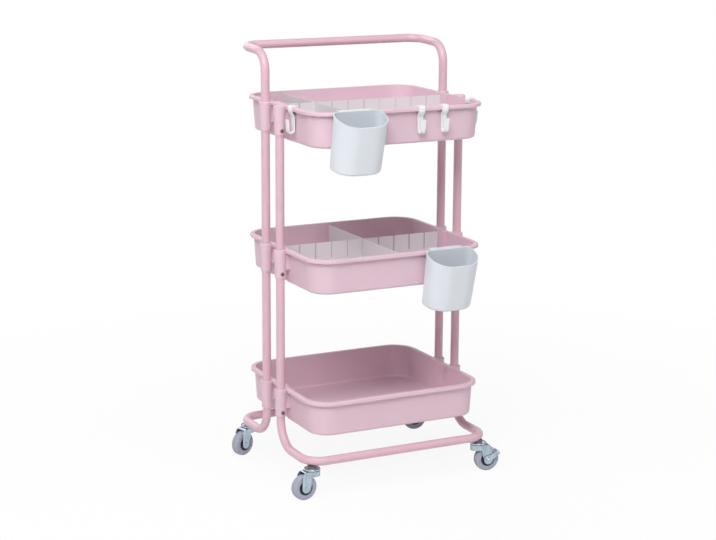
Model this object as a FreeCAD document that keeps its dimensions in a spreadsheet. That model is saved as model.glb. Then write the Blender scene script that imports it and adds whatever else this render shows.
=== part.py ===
import FreeCAD, Part
import math
import os

import Sketcher
from FreeCAD import Placement, Rotation, Vector
from types import SimpleNamespace

# Three-tier rolling utility cart: bent steel tubes, moulded trays with tube sleeves, stem casters,
# hanging cups, rim hooks and slotted tray dividers.
# Frame: +Z up, origin on the floor below the middle of the tube frame, X along the trays' length,
# -Y towards the user's front side, the push handle on the +Y side. Millimetres and degrees.

SIZES = {
    # steel tubes
    "tube_dia": 17.0,
    "tube_wall": 1.0,
    "post_x": 197.0,
    "post_y": 33.5,
    "joint_drop": 28.0,
    "spigot_length": 14.0,
    "spigot_play": 0.15,
    # leg loops and push handle
    "bar_z": 75.0,
    "bar_y": 165.5,
    "leg_bend": 51.0,
    "bar_bend": 37.5,
    "handle_z": 850.0,
    "handle_y": 143.0,
    "handle_rise": 4.0,
    "handle_bend": 38.0,
    "handle_corner": 31.0,
    # trays
    "tray_length": 378.0,
    "tray_depth": 343.0,
    "tray_corner": 51.5,
    "tray_height": 69.5,
    "tray_wall": 2.4,
    "wall_draft": 4.5,
    "rim_width": 7.0,
    "rim_drop": 6.5,
    "rim_round": 2.0,
    "lip_wall": 2.0,
    "foot_round": 6.0,
    "floor_round": 4.5,
    "first_rim_z": 190.4,
    "tier_pitch": 280.6,
    "recess_width": 46.0,
    "recess_depth": 6.0,
    # tube sleeves on the tray ends, and their screws
    "sleeve_top_rad": 12.5,
    "sleeve_end_rad": 10.4,
    "sleeve_depth": 56.0,
    "sleeve_bevel": 1.6,
    "sleeve_play": 0.2,
    "sleeve_cap": 4.0,
    "web_width": 14.0,
    "web_depth": 40.0,
    "screw_drop": 48.0,
    "screw_dia": 4.0,
    "screw_head_dia": 7.5,
    "screw_head_rise": 2.2,
    "screw_length": 9.0,
    "screw_seat": 10.2,
    # caster wheels and axles
    "wheel_dia": 50.0,
    "wheel_width": 17.0,
    "core_dia": 29.0,
    "core_rim": 1.9,
    "axle_dia": 5.0,
    "axle_head_dia": 9.0,
    "axle_head_rise": 2.0,
    # caster forks and stems
    "trail": 18.0,
    "fork_gap": 20.0,
    "fork_sheet": 1.6,
    "fork_foot": 9.5,
    "fork_round": 3.0,
    "crown_top": 57.0,
    "crown_rad": 16.0,
    "skirt_z": 45.0,
    "hood_reach": 26.5,
    "kingpin_dia": 7.2,
    "rivet_rad": 6.0,
    "rivet_rise": 3.3,
    "cap_rise": 4.0,
    "cap_bevel": 1.0,
    "neck_dia": 17.0,
    "stem_dia": 8.0,
    "running_play": 0.05,
    "free_play": 0.3,
    "nut_dia": 11.0,
    "nut_seat": 5.05,
    "nut_height": 6.5,
    # brake levers
    "lever_sheet": 1.5,
    "lever_ring_rad": 9.5,
    "lever_arm": 13.0,
    "lever_tip": 8.5,
    "lever_reach": 26.6,
    "lever_rise": 32.0,
    # hanging cups
    "cup_width": 106.0,
    "cup_depth": 61.0,
    "cup_height": 110.0,
    "cup_front": 40.0,
    "cup_back": 15.0,
    "cup_draft": 1.8,
    "cup_wall": 2.2,
    "cup_tilt": 12.2,
    "cup_slant": 12.0,
    "cup_stand": 2.2,
    "cup_play": 2.0,
    "cup_lip_width": 70.0,
    "cup_lip_drop": 7.0,
    # rim hooks
    "hook_width": 13.0,
    "hook_tip": 9.0,
    "hook_sheet": 3.0,
    "hook_drop": 43.0,
    "hook_curl": 5.5,
    "hook_tuck": 5.0,
    "hook_slope": 9.5,
    "hook_lift": 20.0,
    "hook_play": 1.2,
    # tray dividers
    "divider_sheet": 2.0,
    "divider_height": 64.0,
    "divider_slot": 2.8,
    "divider_play": 1.0,
    "cross_play": 7.0,
    "slot_pitch": 35.0,
}
SLOT_COUNT = 9
FULL_TURN = 360.0
SMALL = 1e-6
NEAR = 0.01

# Where the casters stand and which way each one trails, as direction from +X
CASTERS = {
    "front_left": (-1, -1, 184.0),
    "rear_left": (-1, 1, 202.0),
    "front_right": (1, -1, 352.0),
    "rear_right": (1, 1, 345.0),
}
BRAKED = ("front_right", "rear_right")
# Tiers counted from the lowest tray, and what hangs on them
TRAYS = {"bottom_tray": 0, "middle_tray": 1, "top_tray": 2}
CUPS = {"top_hanging_cup": (2, -104.0), "middle_hanging_cup": (1, 96.5)}
# Rim hooks on the top tray: side of the tray, and distance along that side from its middle
HOOKS = {
    "front_hook_left": ("front", 36.0),
    "front_hook_right": ("front", 87.0),
    "left_end_hook": ("left", -67.0),
    "right_end_hook": ("right", -102.0),
}
# Cross dividers stand in one of the long divider's slots, counted from the middle one
DIVIDERS = {"top": (2, -3), "middle": (1, 0)}
UP = Vector(0, 0, 1)


class Length:
    """Number that remembers its sheet cells, so that sums of lengths stay bound to the sheet."""

    def __init__(self, number, text):
        self.number = float(number)
        self.text = text

    def __float__(self):
        return self.number

    def __neg__(self):
        return Length(-self.number, f"-({self.text})")

    def __add__(self, other):
        other = as_length(other)
        return Length(self.number + other.number, f"({self.text} + {other.text})")

    def __sub__(self, other):
        other = as_length(other)
        return Length(self.number - other.number, f"({self.text} - {other.text})")

    def __rsub__(self, other):
        return as_length(other) - self

    def __mul__(self, other):
        other = as_length(other)
        return Length(self.number * other.number, f"({self.text} * {other.text})")

    def __truediv__(self, other):
        other = as_length(other)
        return Length(self.number / other.number, f"({self.text} / {other.text})")

    __radd__ = __add__
    __rmul__ = __mul__


def as_length(value):
    """A plain number passes for a length with no cell."""
    return value if isinstance(value, Length) else Length(value, f"({value})")


doc = FreeCAD.newDocument("utility_cart")
sheet = doc.addObject("Spreadsheet::Sheet", "Size")
for row, (alias, number) in enumerate(SIZES.items(), start=1):
    sheet.set(f"A{row}", alias)
    sheet.set(f"B{row}", str(number))
    sheet.setAlias(f"B{row}", alias)
doc.recompute()
size = SimpleNamespace(**{alias: Length(number, f"Size.{alias}") for alias, number in SIZES.items()})

nodes = []


def keep(thing, name):
    """Label a finished sub-part and put it on the list that is written out."""
    thing.Label = name
    nodes.append(thing)
    return thing


def origin_plane(body, role):
    return next(item for item in body.Origin.OriginFeatures if item.Role == role)


def new_sketch(body, role="XY_Plane", lift=None, turn=None):
    """Sketch on one of the body's own origin planes, lifted along or turned about its normal."""
    sketch = body.newObject("Sketcher::SketchObject", "Sketch")
    sketch.AttachmentSupport = [(origin_plane(body, role), "")]
    sketch.MapMode = "FlatFace"
    if lift is not None:
        sketch.setExpression("AttachmentOffset.Base.z", as_length(lift).text)
    if turn is not None:
        sketch.AttachmentOffset = Placement(Vector(), Rotation(UP, 1.0))
        sketch.setExpression("AttachmentOffset.Rotation.Angle", turn.text)
    return sketch


def bind(sketch, constraint, value):
    """Add a sizing constraint whose value comes from the sheet."""
    index = sketch.addConstraint(constraint)
    name = f"size_{index}"
    sketch.renameConstraint(index, name)
    sketch.setExpression(f"Constraints.{name}", value.text)


def pin_along(sketch, geometry, point, kind, value):
    """Fix one coordinate of a sketch point at a signed distance from the sketch's origin."""
    value = as_length(value)
    if abs(value.number) < SMALL:
        axis = -2 if kind == "DistanceX" else -1
        sketch.addConstraint(Sketcher.Constraint("PointOnObject", geometry, point, axis))
    elif value.number > 0:
        bind(sketch, Sketcher.Constraint(kind, -1, 1, geometry, point, value.number), value)
    else:
        bind(sketch, Sketcher.Constraint(kind, geometry, point, -1, 1, -value.number), -value)


def draw_polygon(sketch, corners):
    """Closed straight-sided outline through its corners."""
    spots = [Vector(across, up, 0) for across, up in corners]
    sides = []
    for start, end in zip(spots, spots[1:] + spots[:1]):
        sides.append(sketch.addGeometry(Part.LineSegment(start, end)))
    for side, following in zip(sides, sides[1:] + sides[:1]):
        sketch.addConstraint(Sketcher.Constraint("Coincident", side, 2, following, 1))
    for side, (across, up) in zip(sides, corners):
        pin_along(sketch, side, 1, "DistanceX", across)
        pin_along(sketch, side, 1, "DistanceY", up)


def draw_rounded_box(sketch, left, right, low, high, radii):
    """Rectangle with a rounded corner at each end of its low and high sides, counter-clockwise."""
    x0, x1, y0, y1 = (float(item) for item in (left, right, low, high))
    r = [float(item) for item in radii]
    lines = [
        ((x0 + r[0], y0), (x1 - r[1], y0)),
        ((x1, y0 + r[1]), (x1, y1 - r[2])),
        ((x1 - r[2], y1), (x0 + r[3], y1)),
        ((x0, y1 - r[3]), (x0, y0 + r[0])),
    ]
    centres = [
        (x0 + r[0], y0 + r[0]),
        (x1 - r[1], y0 + r[1]),
        (x1 - r[2], y1 - r[2]),
        (x0 + r[3], y1 - r[3]),
    ]
    sides = [
        sketch.addGeometry(Part.LineSegment(Vector(*start, 0), Vector(*end, 0))) for start, end in lines
    ]
    corners = []
    for index, (centre, radius) in enumerate(zip(centres, r)):
        begin = math.pi + index * math.pi / 2
        circle = Part.Circle(Vector(*centre, 0), UP, radius)
        corners.append(sketch.addGeometry(Part.ArcOfCircle(circle, begin, begin + math.pi / 2)))
    for index in range(4):
        sketch.addConstraint(Sketcher.Constraint("Tangent", corners[index], 2, sides[index], 1))
        sketch.addConstraint(Sketcher.Constraint("Tangent", sides[index], 2, corners[(index + 1) % 4], 1))
        sketch.addConstraint(Sketcher.Constraint("Vertical" if index % 2 else "Horizontal", sides[index]))
        bind(sketch, Sketcher.Constraint("Radius", corners[index], r[index]), as_length(radii[index]))
    pin_along(sketch, sides[0], 1, "DistanceY", low)
    pin_along(sketch, sides[1], 1, "DistanceX", right)
    pin_along(sketch, sides[2], 1, "DistanceY", high)
    pin_along(sketch, sides[3], 1, "DistanceX", left)


def add_extrusion(body, kind, sketch, length=None, both_ways=False, backwards=False):
    """Pad or Pocket of a sketch; with no length a Pocket goes right through."""
    feature = body.newObject(f"PartDesign::{kind}", kind)
    feature.Profile = sketch
    if both_ways:
        feature.SideType = "Symmetric"
    feature.Reversed = backwards
    if length is None:
        feature.Type = "ThroughAll"
    else:
        feature.setExpression("Length", length.text)
    return feature


def add_loft(body, kind, sketches):
    feature = body.newObject(f"PartDesign::{kind}", kind)
    feature.Profile = sketches[0]
    feature.Sections = sketches[1:]
    feature.Ruled = True
    return feature


def add_revolution(body, corners):
    """Turned shape: an outline of radius and height pairs, spun about the sketch's upright axis."""
    sketch = new_sketch(body, "XZ_Plane")
    draw_polygon(sketch, corners)
    feature = body.newObject("PartDesign::Revolution", "Revolution")
    feature.Profile = sketch
    feature.ReferenceAxis = (sketch, ["V_Axis"])
    feature.Angle = FULL_TURN
    return feature


def add_cylinder(body, kind, radius, height, base, axis=UP):
    """Round boss or hole from a base point along an axis."""
    feature = body.newObject(f"PartDesign::{kind}Cylinder", f"{kind}Cylinder")
    feature.setExpression("Radius", radius.text)
    feature.setExpression("Height", height.text)
    feature.Placement = Placement(base, Rotation(UP, axis))
    return feature


def add_cone(body, foot_radius, top_radius, height, base):
    """Upright tapered boss."""
    feature = body.newObject("PartDesign::AdditiveCone", "AdditiveCone")
    feature.setExpression("Radius1", foot_radius.text)
    feature.setExpression("Radius2", top_radius.text)
    feature.setExpression("Height", height.text)
    feature.Placement = Placement(base, Rotation())
    return feature


def picked(kind, items, wanted):
    """Names of the edges or faces whose boxes pass a test."""
    return [f"{kind}{index}" for index, item in enumerate(items, start=1) if wanted(item.BoundBox)]


def add_fillet(body, feature, wanted, radius):
    """Round the edges of a feature that a test picks out."""
    doc.recompute()
    fillet = body.newObject("PartDesign::Fillet", "Fillet")
    fillet.Base = (feature, picked("Edge", feature.Shape.Edges, wanted))
    fillet.setExpression("Radius", radius.text)
    return fillet


def rim_height(tier):
    return size.first_rim_z + tier * size.tier_pitch


def tray_outline(body, inset, drop):
    """Level rounded rectangle, inset from the rim's outer edge, some way below the rim's top."""
    sketch = new_sketch(body, lift=-as_length(drop))
    half_x = size.tray_length / 2 - inset
    half_y = size.tray_depth / 2 - inset
    draw_rounded_box(sketch, -half_x, half_x, -half_y, half_y, [size.tray_corner - inset] * 4)
    return sketch


def recess_section(body, inner, outer, half_width, drop):
    """Level rectangle across the middle of the tray's +X end."""
    sketch = new_sketch(body, lift=-as_length(drop))
    corners = [(inner, -half_width), (outer, -half_width), (outer, half_width), (inner, half_width)]
    draw_polygon(sketch, corners)
    return sketch


def add_sleeves(body, posts):
    """Tapered sleeves round the posts, each joined to the end wall by a web."""
    webs = new_sketch(body)
    shoulder = size.sleeve_depth - size.sleeve_bevel
    for side, end in posts:
        foot = Vector(side * size.post_x, end * size.post_y, -size.sleeve_depth)
        neck = Vector(foot.x, foot.y, -size.sleeve_bevel)
        add_cone(body, size.sleeve_end_rad, size.sleeve_top_rad, shoulder, foot)
        add_cone(body, size.sleeve_top_rad, size.sleeve_top_rad - size.sleeve_bevel, size.sleeve_bevel, neck)
        near, far = side * (size.tray_length / 2 - 2 * size.rim_width), side * size.post_x
        low = end * size.post_y - size.web_width / 2
        high = end * size.post_y + size.web_width / 2
        draw_polygon(webs, [(near, low), (far, low), (far, high), (near, high)])
    add_extrusion(body, "Pad", webs, size.web_depth, backwards=True)


def add_end_recesses(body):
    """Recess between the sleeves of each end, with the wall carried round it."""
    top_wall = size.tray_length / 2 - size.rim_width
    foot_wall = top_wall - size.wall_draft
    half, wall = size.recess_width / 2, size.tray_wall
    bump_inset = wall + size.recess_depth
    bump = add_loft(
        body,
        "AdditiveLoft",
        [
            recess_section(body, top_wall - bump_inset, top_wall - wall / 2, half + wall, 0),
            recess_section(
                body, foot_wall - bump_inset, foot_wall - wall / 2, half + wall, size.tray_height - wall / 2
            ),
        ],
    )
    notch = add_loft(
        body,
        "SubtractiveLoft",
        [
            recess_section(body, top_wall - size.recess_depth, top_wall + size.rim_width / 2, half, wall),
            recess_section(
                body, foot_wall - size.recess_depth, foot_wall + size.rim_width, half, size.tray_height + wall
            ),
        ],
    )
    doc.recompute()
    ends = body.newObject("PartDesign::Mirrored", "BothEnds")
    ends.Originals = [bump, notch]
    ends.MirrorPlane = (origin_plane(body, "YZ_Plane"), [""])
    body.Tip = ends


def make_tray(name, tier, front_capped):
    """Moulded tray: drafted walls, rolled rim, four tube sleeves and a recess in each short end."""
    body = doc.addObject("PartDesign::Body", name)
    wall = size.tray_wall
    top_inset = size.rim_width
    foot_inset = size.rim_width + size.wall_draft
    shell = add_loft(
        body,
        "AdditiveLoft",
        [tray_outline(body, top_inset, 0), tray_outline(body, foot_inset, size.tray_height)],
    )
    foot_z = -float(size.tray_height)
    add_fillet(body, shell, lambda box: box.ZMax < foot_z + NEAR, size.foot_round)

    # rim flange with a rounded edge and a turned-down lip
    rim = add_extrusion(body, "Pad", tray_outline(body, 0, 0), wall, backwards=True)
    add_fillet(body, rim, lambda box: box.ZMin > -NEAR, size.rim_round)
    lip = tray_outline(body, 0, wall)
    half_x = size.tray_length / 2 - size.lip_wall
    half_y = size.tray_depth / 2 - size.lip_wall
    draw_rounded_box(lip, -half_x, half_x, -half_y, half_y, [size.tray_corner - size.lip_wall] * 4)
    add_extrusion(body, "Pad", lip, size.rim_drop - wall, backwards=True)

    posts = [(side, end) for side in (-1, 1) for end in (-1, 1)]
    add_sleeves(body, posts)

    # inside of the tray
    hollow = add_loft(
        body,
        "SubtractiveLoft",
        [
            tray_outline(body, top_inset + wall, 0),
            tray_outline(body, foot_inset + wall, size.tray_height - wall),
        ],
    )
    floor_z = foot_z + float(wall)
    reach_x = float(size.tray_length / 2 - size.rim_width)
    add_fillet(
        body,
        hollow,
        lambda box: abs(box.ZMax - floor_z) < NEAR and abs(box.ZMin - floor_z) < NEAR and box.XMax < reach_x,
        size.floor_round,
    )
    add_end_recesses(body)

    # bores for the posts, and screw seats on the outer side of each sleeve
    past = 2 * size.sleeve_play
    for side, end in posts:
        capped = front_capped and end < 0
        spot = Vector(side * size.post_x, end * size.post_y, -(size.sleeve_depth + past))
        length = size.sleeve_depth + past - size.sleeve_cap if capped else size.sleeve_depth + 2 * past
        add_cylinder(body, "Subtractive", size.tube_dia / 2 + size.sleeve_play, length, spot)
        outwards = Vector(0, end, 0)
        hole = Vector(spot.x, spot.y, -size.screw_drop)
        seat = hole + outwards * float(size.screw_seat)
        head = size.screw_head_dia / 2 + size.free_play
        add_cylinder(body, "Subtractive", head, size.rim_width, seat, outwards)
        shank = size.screw_dia / 2 + size.sleeve_play
        add_cylinder(body, "Subtractive", shank, size.sleeve_top_rad, hole, outwards)
    body.setExpression("Placement.Base.z", rim_height(tier).text)
    return keep(body, name)


def make_post(name, side, end, tier):
    """Straight tube between two trays, with a drawn-down spigot that plugs into the tube below."""
    body = doc.addObject("PartDesign::Body", name)
    outer = size.tube_dia / 2
    bore = outer - size.tube_wall
    spigot = bore - size.spigot_play
    spigot_bore = spigot - size.tube_wall
    add_revolution(
        body,
        [
            (spigot_bore, -size.spigot_length),
            (spigot, -size.spigot_length),
            (spigot, 0),
            (outer, 0),
            (outer, size.tier_pitch),
            (bore, size.tier_pitch),
            (bore, 2 * size.tube_wall),
            (spigot_bore, size.tube_wall),
        ],
    )
    hole = Vector(0, 0, size.tier_pitch + size.joint_drop - size.screw_drop)
    shank = size.screw_dia / 2 + size.sleeve_play
    add_cylinder(body, "Subtractive", shank, size.tube_dia, hole, Vector(0, end, 0))
    body.Placement = Placement(
        Vector(side * size.post_x, end * size.post_y, rim_height(tier) - size.joint_drop), Rotation()
    )
    return keep(body, name)


def bent_run(spots, radii):
    """Straight runs joined by tangent arcs, one radius for each inner corner."""
    runs = []
    last = spots[0]
    for before, corner, after, bend in zip(spots, spots[1:], spots[2:], radii):
        radius = float(bend)
        back = (before - corner).normalize()
        onward = (after - corner).normalize()
        half = back.getAngle(onward) / 2
        start = corner + back * (radius / math.tan(half))
        end = corner + onward * (radius / math.tan(half))
        inwards = (back + onward).normalize()
        middle = corner + inwards * (radius / math.sin(half) - radius)
        runs.append(Part.LineSegment(last, start))
        runs.append(Part.Arc(start, middle, end))
        last = end
    runs.append(Part.LineSegment(last, spots[-1]))
    return runs


def bent_path(name, spots, radii):
    """Wire of a bent tube's middle line."""
    path = doc.addObject("Part::Feature", name)
    path.Shape = Part.Wire([run.toShape() for run in bent_run(spots, radii)])
    return path


def sweep_round(name, path, radius):
    """Round bar along a path that starts upright."""
    ring = doc.addObject("Part::Circle", f"{name}_ring")
    ring.setExpression("Radius", radius.text)
    ring.Placement = Placement(path.Shape.OrderedVertexes[0].Point, Rotation())
    sweep = doc.addObject("Part::Sweep", name)
    sweep.Sections = [ring]
    sweep.Spine = (path, [f"Edge{index + 1}" for index in range(len(path.Shape.Edges))])
    sweep.Solid = True
    sweep.Frenet = False
    return sweep


def round_bar(name, radius, height, base, axis=UP):
    bar = doc.addObject("Part::Cylinder", name)
    bar.setExpression("Radius", radius.text)
    bar.setExpression("Height", height.text)
    bar.Placement = Placement(base, Rotation(UP, axis))
    return bar


def join(name, pieces):
    fuse = doc.addObject("Part::MultiFuse", name)
    fuse.Shapes = pieces
    return fuse


def cut(name, base, tools):
    result = doc.addObject("Part::Cut", name)
    result.Base = base
    result.Tool = tools[0] if len(tools) == 1 else join(f"{name}_tools", tools)
    return result


def caster_place(side, end):
    """Caster stems stand at the middle of the bends at the ends of the base bars."""
    slack = float(size.bar_bend) * (1 - math.sqrt(0.5))
    return Vector(side * (size.post_x - slack), end * (size.bar_y - slack), 0)


def make_leg(name, end):
    """Leg loop: two uprights under the bottom tray, bent outwards to a base bar along the front or rear."""
    x, near, far = size.post_x, end * size.post_y, end * size.bar_y
    low, top = size.bar_z, rim_height(0) - size.joint_drop
    spots = [
        Vector(-x, near, top),
        Vector(-x, near, low),
        Vector(-x, far, low),
        Vector(x, far, low),
        Vector(x, near, low),
        Vector(x, near, top),
    ]
    path = bent_path(f"{name}_path", spots, [size.leg_bend, size.bar_bend, size.bar_bend, size.leg_bend])
    tools = [sweep_round(f"{name}_bore", path, size.tube_dia / 2 - size.tube_wall)]
    shank = size.screw_dia / 2 + size.sleeve_play
    for side in (-1, 1):
        screw = Vector(side * x, near, rim_height(0) - size.screw_drop)
        tools.append(round_bar(f"{name}_screw_hole", shank, size.tube_dia, screw, Vector(0, end, 0)))
        stem = size.stem_dia / 2 + size.sleeve_play
        tools.append(round_bar(f"{name}_stem_hole", stem, size.bar_z, caster_place(side, end)))
    return keep(cut(name, sweep_round(f"{name}_bar", path, size.tube_dia / 2), tools), name)


def make_handle(name):
    """Push handle: two spigoted uprights that bend back to a cross bar behind the top tray."""
    x, near, far = size.post_x, size.post_y, size.handle_y
    high, foot = size.handle_z, rim_height(2) - size.joint_drop
    elbow = high - size.handle_rise
    spots = [
        Vector(-x, near, foot),
        Vector(-x, near, elbow),
        Vector(-x, far, high),
        Vector(x, far, high),
        Vector(x, near, elbow),
        Vector(x, near, foot),
    ]
    radii = [size.handle_bend, size.handle_corner, size.handle_corner, size.handle_bend]
    step = Vector(0, 0, 2 * size.tube_wall)
    inner = [spots[0] + step] + spots[1:-1] + [spots[-1] + step]
    bore = size.tube_dia / 2 - size.tube_wall
    spigot = bore - size.spigot_play
    outside = [sweep_round(f"{name}_bar", bent_path(f"{name}_path", spots, radii), size.tube_dia / 2)]
    inside = [sweep_round(f"{name}_bore", bent_path(f"{name}_inner_path", inner, radii), bore)]
    for side in (-1, 1):
        base = Vector(side * x, near, foot - size.spigot_length)
        outside.append(round_bar(f"{name}_spigot", spigot, size.spigot_length + size.tube_wall, base))
        hollow = size.spigot_length + 3 * size.tube_wall
        inside.append(round_bar(f"{name}_spigot_bore", spigot - size.tube_wall, hollow, base))
    return keep(cut(name, join(f"{name}_outside", outside), inside), name)


def copy_to(name, proto, places):
    """Group of like solids, one at each place."""
    doc.recompute()
    copies = []
    for place in places:
        copy = proto.Shape.copy()
        copy.Placement = place
        copies.append(copy)
    group = doc.addObject("Part::Feature", name)
    group.Shape = Part.makeCompound(copies)
    return keep(group, name)


def make_screws(name):
    """Cross-head screws that hold each sleeve to the tube below its joint, three trays by four."""
    proto = doc.addObject("PartDesign::Body", "screw")
    shank, head, rise = size.screw_dia / 2, size.screw_head_dia / 2, size.screw_head_rise
    add_revolution(
        proto,
        [
            (0, -size.screw_length),
            (shank / 2, -size.screw_length),
            (shank, -size.screw_length * 0.8),
            (shank, 0),
            (head, 0),
            (head, rise * 0.4),
            (head / 2, rise),
            (0, rise),
        ],
    )
    places = []
    for tier in TRAYS.values():
        for side in (-1, 1):
            for end in (-1, 1):
                seat = end * (size.post_y + size.screw_seat)
                spot = Vector(side * size.post_x, seat, rim_height(tier) - size.screw_drop)
                places.append(Placement(spot, Rotation(UP, Vector(0, end, 0))))
    return copy_to(name, proto, places)


def make_nuts(name):
    """Round weld nuts inside the base bars that take the caster stems."""
    proto = doc.addObject("PartDesign::Body", "weld_nut")
    base = size.bar_z - size.nut_seat
    bore = size.stem_dia / 2 + size.running_play
    add_revolution(
        proto,
        [
            (bore, base),
            (size.nut_dia / 2, base),
            (size.nut_dia / 2, base + size.nut_height),
            (bore, base + size.nut_height),
        ],
    )
    places = [Placement(caster_place(side, end), Rotation()) for side, end, _ in CASTERS.values()]
    return copy_to(name, proto, places)


def place_caster_piece(body, name, corner, lift=Vector()):
    """Turn a caster piece about its stem to the way the caster trails."""
    side, end, heading = CASTERS[corner]
    turn = Rotation(UP, heading)
    spot = caster_place(side, end) + turn.multVec(lift)
    body.Placement = Placement(spot, turn.multiply(body.Placement.Rotation))
    return keep(body, name)


def make_stem(corner):
    """Threaded stem with its neck and raceway cap, and the kingpin that is riveted over below the fork."""
    body = doc.addObject("PartDesign::Body", f"{corner}_caster_stem")
    rivet_top = size.crown_top - size.fork_sheet - 3 * size.free_play
    rivet_low = rivet_top - size.rivet_rise
    cap_low = size.crown_top + size.free_play
    cap_top = cap_low + size.cap_rise
    pin, cap, neck, stem = size.kingpin_dia / 2, size.crown_rad, size.neck_dia / 2, size.stem_dia / 2
    neck_top = size.bar_z - size.tube_dia / 2
    add_revolution(
        body,
        [
            (0, rivet_low),
            (size.rivet_rad * 0.9, rivet_low),
            (size.rivet_rad, rivet_low + size.cap_bevel),
            (size.rivet_rad, rivet_top),
            (pin, rivet_top),
            (pin, cap_low),
            (cap - size.cap_bevel, cap_low),
            (cap, cap_low + size.cap_bevel),
            (cap, cap_top - size.cap_bevel),
            (cap - size.cap_bevel, cap_top),
            (cap * 0.8, cap_top - size.cap_bevel),
            (neck, cap_top - size.cap_bevel),
            (neck, neck_top),
            (stem, neck_top),
            (stem, size.bar_z + stem),
            (0, size.bar_z + stem),
        ],
    )
    return place_caster_piece(body, f"{corner}_caster_stem", corner)


def make_fork(corner):
    """Pressed swivel fork: hood with a round front skirt, two legs with rounded feet, raceway rim on top."""
    body = doc.addObject("PartDesign::Body", f"{corner}_caster_fork")
    half, gap, past = size.fork_gap / 2 + size.fork_sheet, size.fork_gap / 2, size.fork_sheet * 5
    axle_z = size.wheel_dia / 2
    foot_low = axle_z - size.fork_foot
    front, rear = size.trail - size.fork_foot, size.trail + size.fork_foot
    plan = new_sketch(body, lift=foot_low)
    nose = half - size.running_play
    tail = size.hood_reach + past
    draw_rounded_box(plan, -size.crown_rad, tail, -half, half, [nose, past / 2, past / 2, nose])
    blank = add_extrusion(body, "Pad", plan, size.crown_top - foot_low)
    top_z = float(size.crown_top)
    add_fillet(body, blank, lambda box: box.ZMin > top_z - NEAR, size.fork_round)
    inside = new_sketch(body, lift=size.crown_top - size.fork_sheet)
    nose = gap - size.running_play
    inner_front = size.fork_sheet - size.crown_rad
    draw_rounded_box(inside, inner_front, tail + past, -gap, gap, [nose, past / 2, past / 2, nose])
    add_extrusion(body, "Pocket", inside)

    # what the press trims away in front of the legs and behind them
    trimmed = new_sketch(body, "XZ_Plane")
    draw_polygon(
        trimmed,
        [
            (-size.crown_rad - past, foot_low - past),
            (front, foot_low - past),
            (front, axle_z),
            (front - size.fork_foot / 2, size.skirt_z),
            (-size.crown_rad - past, size.skirt_z),
        ],
    )
    draw_polygon(
        trimmed,
        [
            (rear, foot_low - past),
            (size.hood_reach + 2 * past, foot_low - past),
            (size.hood_reach + 2 * past, size.crown_top + past),
            (size.hood_reach - 3 * size.fork_round, size.crown_top + past),
            (size.hood_reach - 3 * size.fork_round, size.crown_top),
            (size.hood_reach - size.fork_round, size.crown_top - size.fork_round),
            (size.hood_reach, size.crown_top - 3 * size.fork_round),
            (rear, axle_z + size.fork_round),
        ],
    )
    legs = add_extrusion(body, "Pocket", trimmed, 6 * size.fork_gap, both_ways=True)
    low_z = float(foot_low)
    add_fillet(
        body,
        legs,
        lambda box: box.ZMax < low_z + NEAR and box.XLength < NEAR and box.YLength > NEAR,
        size.fork_foot - size.free_play,
    )
    rim = Vector(0, 0, size.crown_top - size.fork_sheet)
    add_cylinder(body, "Additive", size.crown_rad, size.fork_sheet, rim)
    below = Vector(0, 0, size.crown_top - past)
    add_cylinder(body, "Subtractive", size.kingpin_dia / 2 + size.running_play, 2 * past, below)
    axle_side = Vector(size.trail, -size.fork_gap, axle_z)
    axle_hole = size.axle_dia / 2 + size.running_play
    add_cylinder(body, "Subtractive", axle_hole, 2 * size.fork_gap, axle_side, Vector(0, 1, 0))
    return place_caster_piece(body, f"{corner}_caster_fork", corner)


def lay_on_axle(body, name, corner):
    """Stand a turned piece's axis along the wheel axle."""
    body.Placement = Placement(Vector(), Rotation(UP, Vector(0, 1, 0)))
    return place_caster_piece(body, name, corner, Vector(size.trail, 0, size.wheel_dia / 2))


def make_axle(corner):
    """Riveted axle; a braked caster's is longer on the lever side."""
    body = doc.addObject("PartDesign::Body", f"{corner}_axle")
    shaft, head, rise = size.axle_dia / 2, size.axle_head_dia / 2, size.axle_head_rise
    far = size.fork_gap / 2 + size.fork_sheet
    lever = size.lever_sheet + 2 * size.free_play if corner in BRAKED else 0
    near = -(far + lever)
    add_revolution(
        body,
        [
            (0, near - rise),
            (head * 0.6, near - rise),
            (head, near - rise * 0.4),
            (head, near),
            (shaft, near),
            (shaft, far),
            (head * 0.85, far),
            (head * 0.85, far + rise * 0.5),
            (head * 0.5, far + rise * 0.8),
            (0, far + rise * 0.8),
        ],
    )
    return lay_on_axle(body, f"{corner}_axle", corner)


def make_core(corner):
    """Moulded wheel core: hub boss, thin web and a rim that carries the tread."""
    body = doc.addObject("PartDesign::Body", f"{corner}_wheel_core")
    boss = size.fork_gap / 2 - size.free_play
    rim = size.wheel_width / 2 - size.free_play
    web = size.wheel_width / 5
    bore = size.axle_dia / 2 + size.running_play
    hub, outer = size.axle_dia, size.core_dia / 2
    inner = outer - size.core_rim
    lower = [(bore, -boss), (hub, -boss), (hub * 1.2, -web), (inner, -web), (inner, -rim), (outer, -rim)]
    upper = [(radius, -height) for radius, height in reversed(lower)]
    add_revolution(body, lower + upper)
    return lay_on_axle(body, f"{corner}_wheel_core", corner)


def make_tread(corner):
    """Soft grey tyre with a crowned tread and rounded shoulders."""
    body = doc.addObject("PartDesign::Body", f"{corner}_wheel_tread")
    inner = size.core_dia / 2 + size.running_play
    outer, half = size.wheel_dia / 2, size.wheel_width / 2
    lower = [
        (inner, -half),
        (outer * 0.84, -half),
        (outer * 0.93, half * -0.9),
        (outer * 0.985, half * -0.68),
        (outer, half * -0.36),
    ]
    upper = [(radius, -height) for radius, height in reversed(lower)]
    add_revolution(body, lower + upper)
    return lay_on_axle(body, f"{corner}_wheel_tread", corner)


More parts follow.
